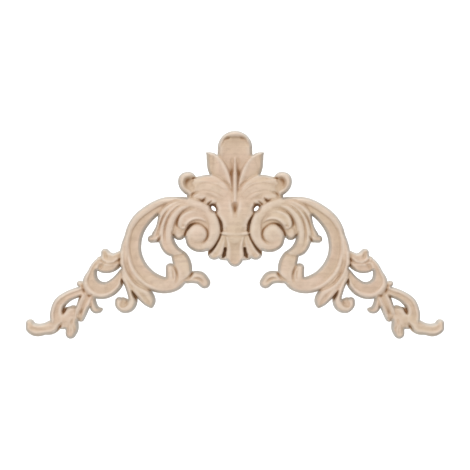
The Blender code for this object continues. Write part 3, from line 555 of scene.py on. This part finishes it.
def carve_onlay():
    """The finished fields of the whole onlay."""
    c = Carving()
    carve_palmette(c)
    carve_scroll(c)
    carve_acanthus(c)
    carve_tail(c)
    cut_scroll(c)
    cut_tail(c)
    c.pierce(EYELET, EYELET_LONG, EYELET_WIDE, EYELET_TILT)
    # nothing passes the solid's own box
    for room in (WIDEST - c.x, c.z - LOWEST, HIGHEST - c.z):
        c.edge = np.minimum(c.edge, room - CLEARANCE)
    inside = mirrored(c.edge) > 0
    height = np.where(inside, np.clip(mirrored(c.height), FLOOR, THICKEST - CLEARANCE), 0.0)
    # sanding, and then how far each place lies below what is about it
    height = softened(height, inside, SANDING)
    hollow = softened(height, inside, SMALL_HOLLOW) - height
    broad = softened(height, inside, WIDE_HOLLOW) - height
    # the sides go up to the shoulder, and the edge is rounded over from there
    shoulder = np.minimum(EDGE, height)
    distance = distance_inside(mirrored(c.edge))
    lift = 1 - (1 - np.clip(distance / ROUNDING, 0, 1)) ** 2
    height = np.where(inside, shoulder + (height - shoulder) * lift, 0.0)
    # round the eyelet the painted shade of the hollows reaches right to the hole, and the rim has no grey
    # sheen
    from_eyelet = np.hypot(mirrored(c.x) - EYELET[0], mirrored(c.z) - EYELET[1])
    beside_eyelet = 1 - np.clip((from_eyelet - EYELET_SHADE) / EYELET_FADE, 0, 1)
    inward = np.maximum(np.clip(distance / MARKED_FROM, 0, 1), beside_eyelet)
    # how hollow each place is, which sets the painted shade laid into it
    painted_shade = np.clip(hollow / SMALL_DEPTH, 0, 1) + np.clip(broad / WIDE_DEPTH, 0, 1)
    return {
        "x": mirrored(c.x, -1),
        "z": mirrored(c.z),
        "edge": mirrored(c.edge),
        "height": height,
        "shoulder": shoulder,
        # the painted shade of the hollows and cuts
        "painted_shade": inward * HOLLOW_SHARE * painted_shade,
        # the paler crests: partly sanding wear, partly a painted highlight
        "crest": inward * np.clip(-hollow / CREST_RISE, 0, 1),
        # the painted grey sheen of the rounded sides, left off round the eyelet
        "rim": (1 - np.clip((distance - RIM_WHOLE) / RIM_FADE, 0, 1)) * (1 - beside_eyelet),
    }


def snapped(field):
    """Moves the grid places that are almost on the outline onto it, so that no sliver is left there."""
    edge = field["edge"]
    slope_z, slope_x = np.gradient(edge, STEP)
    steep = slope_x**2 + slope_z**2
    near = (np.abs(edge) < SNAP * STEP * np.sqrt(steep)) & (steep > LEAST_STEEP)
    shift = np.where(near, edge / np.maximum(steep, LEAST_STEEP), 0.0)
    field["x"] = field["x"] - shift * slope_x
    field["z"] = field["z"] - shift * slope_z
    field["edge"] = np.where(near, 0.0, edge)
    return field


class Skin:
    """The faces of the carved side: a quad in each square of the grid, cut to the outline."""

    def __init__(self, field):
        self.field = field
        self.places = []
        self.masks = []
        self.numbers = {}
        self.faces = []

    def corner(self, cell):
        """The vertex at a place of the grid."""
        if cell not in self.numbers:
            f = self.field
            on_outline = f["edge"][cell] == 0
            height = f["shoulder"][cell] if on_outline else f["height"][cell]
            # a place that was moved in from outside has no height of its own
            height = height if height > 0 else EDGE
            self.numbers[cell] = len(self.places)
            self.places.append((f["x"][cell], -height, f["z"][cell]))
            self.masks.append((f["painted_shade"][cell], f["crest"][cell], f["rim"][cell]))
        return self.numbers[cell]

    def crossing(self, inner, outer):
        """The vertex where the outline crosses between two places of the grid."""
        key = (inner, outer)
        if key not in self.numbers:
            f = self.field
            share = f["edge"][inner] / (f["edge"][inner] - f["edge"][outer])
            x = f["x"][inner] + share * (f["x"][outer] - f["x"][inner])
            z = f["z"][inner] + share * (f["z"][outer] - f["z"][inner])
            self.numbers[key] = len(self.places)
            self.places.append((x, -f["shoulder"][inner], z))
            # on the outline: the full painted grey sheen, and no painted shade or paler crest
            self.masks.append((0.0, 0.0, 1.0))
        return self.numbers[key]

    def cut_square(self, row, column):
        """The face in one square, or none."""
        edge = self.field["edge"]
        ring = [(row, column), (row, column + 1), (row + 1, column + 1), (row + 1, column)]
        face = []
        for i, cell in enumerate(ring):
            following = ring[(i + 1) % 4]
            if edge[cell] >= 0:
                face.append(self.corner(cell))
            if edge[cell] > 0 > edge[following]:
                face.append(self.crossing(cell, following))
            elif edge[cell] < 0 < edge[following]:
                face.append(self.crossing(following, cell))
        if len(face) > 2:
            self.faces.append(face)

    def fill(self):
        """The faces of every square that has a corner inside the outline or on it."""
        edge = self.field["edge"]
        within = edge >= 0
        squares = within[:-1, :-1] | within[:-1, 1:] | within[1:, :-1] | within[1:, 1:]
        for row, column in zip(*np.nonzero(squares)):
            self.cut_square(int(row), int(column))


def outline_edges(faces):
    """The edges that only one face has, in that face's order and in the order in which they were met."""
    seen = {}
    for face in faces:
        for a, b in zip(face, face[1:] + face[:1]):
            if (b, a) in seen:
                del seen[(b, a)]
            else:
                seen[(a, b)] = True
    return list(seen)


def make_onlay():
    """The closed mesh: carved side, upright walls down to the back, and the flat back."""
    skin = Skin(snapped(carve_onlay()))
    skin.fill()
    mesh = bmesh.new()
    # masks for the painted light: shade in the hollows, the paler crests, and the grey sheen of the rim
    painted_shade = mesh.verts.layers.float.new("painted_shade")
    crest = mesh.verts.layers.float.new("crest")
    side = mesh.verts.layers.float.new("rim")
    top = []
    for place, (deep, high, outer) in zip(skin.places, skin.masks):
        vertex = mesh.verts.new(place)
        vertex[painted_shade] = deep
        vertex[crest] = high
        vertex[side] = outer
        top.append(vertex)
    for face in skin.faces:
        mesh.faces.new([top[i] for i in face])
    # walls
    rim = outline_edges(skin.faces)
    low = {}
    for i in {i for edge in rim for i in edge}:
        low[i] = mesh.verts.new((top[i].co.x, 0.0, top[i].co.z))
        # the walls carry the full painted grey sheen
        low[i][side] = 1.0
    for a, b in rim:
        mesh.faces.new((top[b], top[a], low[a], low[b]))
    # flat back, in the second material
    back_edges = [mesh.edges.get((low[a], low[b])) for a, b in rim]
    before = set(mesh.faces)
    bmesh.ops.triangle_fill(mesh, use_beauty=True, use_dissolve=False, edges=back_edges, normal=(0, 1, 0))
    back = [face for face in mesh.faces if face not in before]
    for face in mesh.faces:
        face.smooth = True
    for edge in back_edges:
        edge.smooth = False
    for face in back:
        face.material_index = 1
    bmesh.ops.recalc_face_normals(mesh, faces=mesh.faces)
    bmesh.ops.scale(mesh, vec=(UNIT, UNIT, UNIT), verts=mesh.verts)
    data = bpy.data.meshes.new("carved_onlay")
    mesh.to_mesh(data)
    mesh.free()
    return bpy.data.objects.new("carved_onlay", data)


def new_group(name, inputs, outputs):
    """A shader node group with its sockets; gives the tree and its two end nodes."""
    tree = bpy.data.node_groups.new(name, "ShaderNodeTree")
    for socket, kind, value in inputs:
        made = tree.interface.new_socket(socket, in_out="INPUT", socket_type=kind)
        if value is not None:
            made.default_value = value
    for socket, kind in outputs:
        tree.interface.new_socket(socket, in_out="OUTPUT", socket_type=kind)
    return tree, tree.nodes.new("NodeGroupInput"), tree.nodes.new("NodeGroupOutput")


def node(tree, kind, settings=(), **sockets):
    """A node with its settings and its inputs, each a value or another node's output.

    Where the inputs of a node share a name, they are given by number: i0, i1 and so on.
    """
    made = tree.nodes.new("ShaderNode" + kind)
    for key, value in dict(settings).items():
        setattr(made, key, value)
    for key, value in sockets.items():
        socket = made.inputs[int(key[1:])] if key[0] == "i" and key[1:].isdigit() else made.inputs[key]
        if isinstance(value, bpy.types.NodeSocket):
            tree.links.new(value, socket)
        else:
            socket.default_value = value
    return made


def maths(tree, operation, a, b=0.0):
    return node(tree, "Math", {"operation": operation}, i0=a, i1=b).outputs[0]


def noise(tree, place, scale, detail, roughness=0.5, output="Fac"):
    made = node(tree, "TexNoise", Vector=place, Scale=scale, Detail=detail, Roughness=roughness)
    return made.outputs[output]


def spread(tree, value, low, high, to_low=0.0, to_high=1.0):
    """The value's range from low to high, spread over another range and held within it."""
    made = node(tree, "MapRange", {"clamp": True}, i0=value, i1=low, i2=high, i3=to_low, i4=to_high)
    return made.outputs[0]


def blended(tree, share, first, second):
    """The first colour with a share of the second laid over it."""
    made = node(tree, "Mix", {"data_type": "RGBA", "clamp_factor": True}, Factor=share)
    for socket, value in (("A_Color", first), ("B_Color", second)):
        found = next(s for s in made.inputs if s.identifier == socket)
        if isinstance(value, bpy.types.NodeSocket):
            tree.links.new(value, found)
        else:
            found.default_value = value
    return next(s for s in made.outputs if s.identifier == "Result_Color")


def timber_group():
    """Close-grained pale timber, its fibres along X: colour, fibres and pores."""
    colour = "NodeSocketColor"
    number = "NodeSocketFloat"
    tree, given, put = new_group(
        "pale_timber",
        [("Fibre Size", number, 1.0), ("Figure", number, 1.0), ("Pink", colour, PINK_WOOD),
         ("Straw", colour, STRAW_WOOD), ("Late Wood", colour, LATE_WOOD)],
        [("Color", colour), ("Fibres", number), ("Pores", number)])
    place = node(tree, "TexCoord").outputs["Object"]
    # slow wander of the grain
    sway = noise(tree, place, 28.0, 3.0, output="Color")
    sway = node(tree, "VectorMath", {"operation": "SUBTRACT"}, i0=sway, i1=(0.5, 0.5, 0.5)).outputs[0]
    swayed = node(tree, "VectorMath", {"operation": "MULTIPLY_ADD"}, i0=sway, i1=WANDER, i2=place)
    swayed = swayed.outputs[0]
    # growth rings lie almost flat in the board, so the relief shows them as contour lines
    parts = node(tree, "SeparateXYZ", Vector=swayed)
    depth = maths(tree, "ADD", parts.outputs["Y"], maths(tree, "MULTIPLY", parts.outputs["Z"], RING_TILT))
    rings = maths(tree, "SINE", maths(tree, "MULTIPLY", depth, 2 * math.pi / GROWTH_RING))
    rings = spread(tree, rings, 0.1, 1.0)
    rings = maths(tree, "MULTIPLY", rings, spread(tree, noise(tree, place, 55.0, 2.0), 0.35, 0.7))
    # fibres and pores run along X
    size = given.outputs["Fibre Size"]
    drawn_out = node(tree, "Mapping", Vector=swayed, Scale=(0.05, 1.0, 1.0)).outputs[0]
    fine = noise(tree, drawn_out, maths(tree, "DIVIDE", FIBRES, size), 3.0, 0.6)
    streak = noise(tree, drawn_out, maths(tree, "DIVIDE", STREAKS, size), 2.0)
    less_drawn_out = node(tree, "Mapping", Vector=swayed, Scale=(0.16, 1.0, 1.0)).outputs[0]
    pits = node(tree, "TexVoronoi", {"feature": "F1"}, Vector=less_drawn_out,
                Scale=maths(tree, "DIVIDE", PORES, size))
    pore = spread(tree, pits.outputs["Distance"], 0.34, 0.10)
    pore = maths(tree, "MULTIPLY", pore, spread(tree, streak, 0.42, 0.58))
    # colour: pink and straw patches, late wood lines, mottle, streaks, pores
    tint = spread(tree, noise(tree, place, 42.0, 3.0, 0.55), 0.38, 0.62)
    hue = blended(tree, tint, given.outputs["Pink"], given.outputs["Straw"])
    mottle = spread(tree, noise(tree, swayed, 330.0, 3.0, 0.6), 0.45, 0.68)
    rings = maths(tree, "MULTIPLY", rings, given.outputs["Figure"])
    mottle = maths(tree, "MULTIPLY", mottle, given.outputs["Figure"])
    for mark, share in ((rings, 0.50), (mottle, 0.36), (spread(tree, streak, 0.45, 0.75), 0.40)):
        hue = blended(tree, maths(tree, "MULTIPLY", mark, share), hue, given.outputs["Late Wood"])
    hue = blended(tree, maths(tree, "MULTIPLY", pore, 0.26), hue, PORE_BROWN)
    tree.links.new(hue, put.inputs["Color"])
    tree.links.new(maths(tree, "ADD", fine, maths(tree, "MULTIPLY", streak, 0.6)), put.inputs["Fibres"])
    tree.links.new(pore, put.inputs["Pores"])
    return tree


def start_material(name):
    material = bpy.data.materials.new(name)
    material.use_nodes = True
    return material, material.node_tree, material.node_tree.nodes["Principled BSDF"]


def carved_wood(timber):
    """Raw carved wood, sanded, with light painted in: painted shade darkens the cuts, a painted pale grey
    sheen lies on the rounded sides, and the crests are paler, partly sanding wear and partly a painted
    highlight.
    """
    material, tree, shader = start_material("carved_wood")
    wood = node(tree, "Group", {"node_tree": timber})
    pores = wood.outputs["Pores"]
    painted_shade, crest, rim = (node(tree, "Attribute", {"attribute_name": name}).outputs["Fac"]
                          for name in ("painted_shade", "crest", "rim"))
    spot = node(tree, "TexCoord")
    facing = node(tree, "SeparateXYZ", Vector=spot.outputs["Normal"]).outputs["Y"]
    # the painted grey sheen: on the rim, where the surface turns sideways away from the front
    side = maths(tree, "MULTIPLY", rim, spread(tree, maths(tree, "ABSOLUTE", facing), 1.0, 0.55))
    # painted light: a grey sheen on the sides, then painted shade in the hollows and the deep cuts,
    # then the paler crests, partly sanding wear and partly a painted highlight
    hue = wood.outputs["Color"]
    for mark, share, laid_over in ((side, 0.80, SIDE_PAINTED_SHEEN),
                                   (spread(tree, painted_shade, 0.0, 0.26), 0.40, HOLLOW_PAINTED_SHADE),
                                   (spread(tree, painted_shade, 0.55, 1.03), 0.88, CUT_PAINTED_SHADE),
                                   (crest, 0.50, CREST_WEAR_AND_HIGHLIGHT)):
        hue = blended(tree, maths(tree, "MULTIPLY", mark, share), hue, laid_over)
    tree.links.new(hue, shader.inputs["Base Color"])
    # dull in blotches and in the pores, and smoother on the crests
    blotch = noise(tree, spot.outputs["Object"], 160.0, 2.0)
    rough = maths(tree, "ADD", 0.52, maths(tree, "MULTIPLY", blotch, 0.16))
    rough = maths(tree, "ADD", rough, maths(tree, "MULTIPLY", pores, 0.15))
    rough = maths(tree, "SUBTRACT", rough, maths(tree, "MULTIPLY", crest, 0.12))
    tree.links.new(rough, shader.inputs["Roughness"])
    # fibres, pores and the faint marks of the gouge
    marks = noise(tree, spot.outputs["Object"], 420.0, 1.0)
    relief = maths(tree, "SUBTRACT", wood.outputs["Fibres"], maths(tree, "MULTIPLY", pores, 1.2))
    relief = maths(tree, "ADD", relief, maths(tree, "MULTIPLY", marks, 1.5))
    bump = node(tree, "Bump", Height=relief, Strength=0.35, Distance=0.00012)
    tree.links.new(bump.outputs["Normal"], shader.inputs["Normal"])
    return material


def sawn_wood(timber):
    """The flat back, as the saw left it."""
    material, tree, shader = start_material("sawn_wood")
    wood = node(tree, "Group", {"node_tree": timber})
    wood.inputs["Fibre Size"].default_value = 1.5
    wood.inputs["Figure"].default_value = 0.6
    place = node(tree, "TexCoord").outputs["Object"]
    along = node(tree, "SeparateXYZ", Vector=place).outputs["X"]
    wander = noise(tree, place, 70.0, 2.0)
    stroke = maths(tree, "ADD", along, maths(tree, "MULTIPLY", wander, 0.0012))
    saw = maths(tree, "SINE", maths(tree, "MULTIPLY", stroke, 2 * math.pi / SAW_MARK))
    hue = blended(tree, spread(tree, saw, 0.2, 1.0, 0.0, 0.10), wood.outputs["Color"], SAWN_BROWN)
    tree.links.new(hue, shader.inputs["Base Color"])
    rough = maths(tree, "ADD", 0.68, maths(tree, "MULTIPLY", wander, 0.14))
    tree.links.new(rough, shader.inputs["Roughness"])
    relief = maths(tree, "ADD", wood.outputs["Fibres"], maths(tree, "MULTIPLY", saw, 0.5))
    bump = node(tree, "Bump", Height=relief, Strength=0.5, Distance=0.00015)
    tree.links.new(bump.outputs["Normal"], shader.inputs["Normal"])
    return material


def plain_paper(name, grey):
    material, _, shader = start_material(name)
    shader.inputs["Base Color"].default_value = (grey, grey, grey, 1)
    shader.inputs["Roughness"].default_value = 0.9
    return material


def soft_light(name, place, aim, size, power):
    """A round lamp, in metres and watts, turned to its aim."""
    lamp = bpy.data.lights.new(name, "AREA")
    lamp.shape = "DISK"
    lamp.size = size
    lamp.energy = power
    made = bpy.data.objects.new(name, lamp)
    bpy.context.scene.collection.objects.link(made)
    made.location = place
    made.rotation_euler = (Vector(aim) - Vector(place)).to_track_quat("-Z", "Y").to_euler()


def flat_sheet(name, width, depth, material):
    """A flat square sheet, scaled to the width and depth, with its material."""
    mesh = bmesh.new()
    bmesh.ops.create_grid(mesh, x_segments=1, y_segments=1, size=0.5)
    data = bpy.data.meshes.new(name)
    mesh.to_mesh(data)
    mesh.free()
    made = bpy.data.objects.new(name, data)
    made.scale = (width, depth, 1)
    data.materials.append(material)
    bpy.context.scene.collection.objects.link(made)
    return made


def set_stage():
    """A pale floor well below the onlay and a pale wall far behind it, under soft even light."""
    floor = flat_sheet("floor", 12, 12, plain_paper("pale_board", 0.60))
    floor.location = (0, 0, -0.55)
    wall = flat_sheet("backdrop", 12, 1.7, plain_paper("pale_paper", 0.93))
    wall.location = (0, 2.6, 0.15)
    wall.rotation_euler = (math.radians(90), 0, 0)
    onlay_middle = (0, 0, 0)
    wall_behind_it = (0, 2.6, 0)
    soft_light("key", (-0.20, -1.05, 0.35), onlay_middle, size=0.8, power=5.7)
    soft_light("top_light", (0, 0.5, 2.6), wall_behind_it, size=1.5, power=30.0)
    soft_light("wall_light", (0, 0.5, 0.9), wall_behind_it, size=1.0, power=38.0)
    world = bpy.data.worlds.new("soft_white")
    world.use_nodes = True
    sky = world.node_tree.nodes["Background"]
    sky.inputs["Color"].default_value = (1, 1, 1, 1)
    sky.inputs["Strength"].default_value = 0.66
    bpy.context.scene.world = world
    bpy.context.scene.view_settings.view_transform = "Standard"


def set_camera():
    """Straight on, as the photograph looks, with the onlay across most of the frame."""
    lens = bpy.data.cameras.new("camera")
    lens.lens = 120.0
    camera = bpy.data.objects.new("camera", lens)
    bpy.context.scene.collection.objects.link(camera)
    onlay_share = 0.90
    width = (CAD_HIGH.x - CAD_LOW.x) / onlay_share
    distance = width * lens.lens / lens.sensor_width
    camera.location = (0, CAD_LOW.y - distance, (CAD_LOW.z + CAD_HIGH.z) / 2)
    camera.rotation_euler = (math.radians(90), 0, 0)
    bpy.context.scene.camera = camera


set_camera()
set_stage()
onlay = make_onlay()
bpy.context.scene.collection.objects.link(onlay)
timber = timber_group()
onlay.data.materials.append(carved_wood(timber))
onlay.data.materials.append(sawn_wood(timber))
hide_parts("corner_onlay")
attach(onlay, "root")
